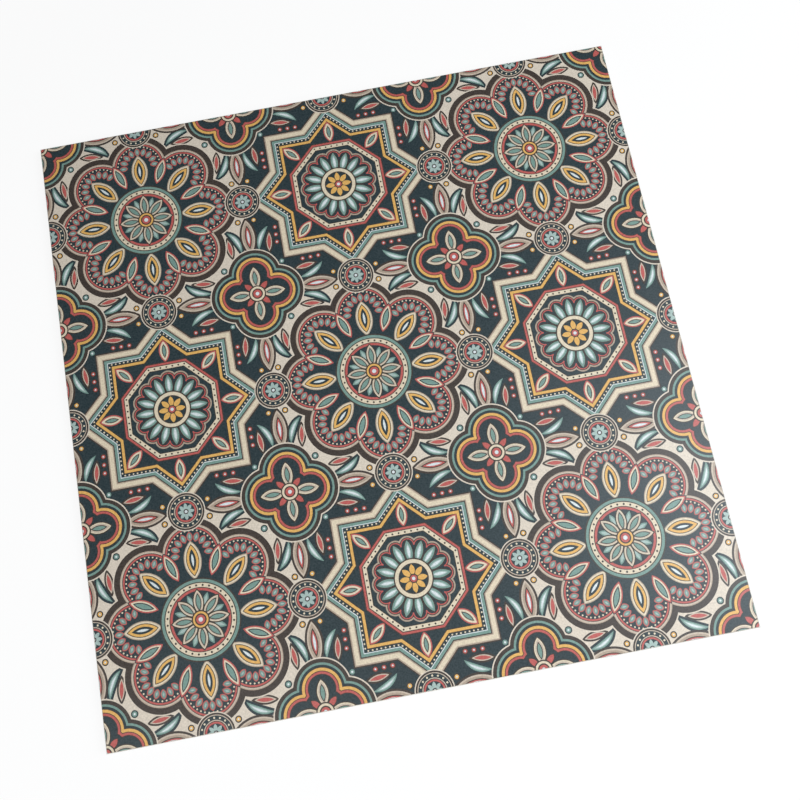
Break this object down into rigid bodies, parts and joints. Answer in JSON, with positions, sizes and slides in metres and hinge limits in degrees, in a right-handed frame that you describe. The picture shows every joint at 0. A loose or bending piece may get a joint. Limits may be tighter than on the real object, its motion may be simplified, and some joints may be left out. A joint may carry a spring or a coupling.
{
  "type": "porcelain tile",
  "caption": "Square rectified porcelain floor tile with a patterned glazed face, a small arris round it and a keyed back of shallow pockets.",
  "frame": {"origin": "middle of the back, on the plane of its ribs, so z = 0 is the surface that the tile lies on", "axes": "+Z out of the glazed face; +X and +Y along the tile's two pairs of ground edges"},
  "size_m": [0.6, 0.6, 0.0095],
  "materials": {
    "glazed_porcelain": "satin glaze over a many-coloured printed pattern, on a pale ivory fired porcelain body that shows on the edges and the back"
  },
  "bodies": {
    "root": {"tile": "glazed_porcelain"}
  },
  "joints": []
}
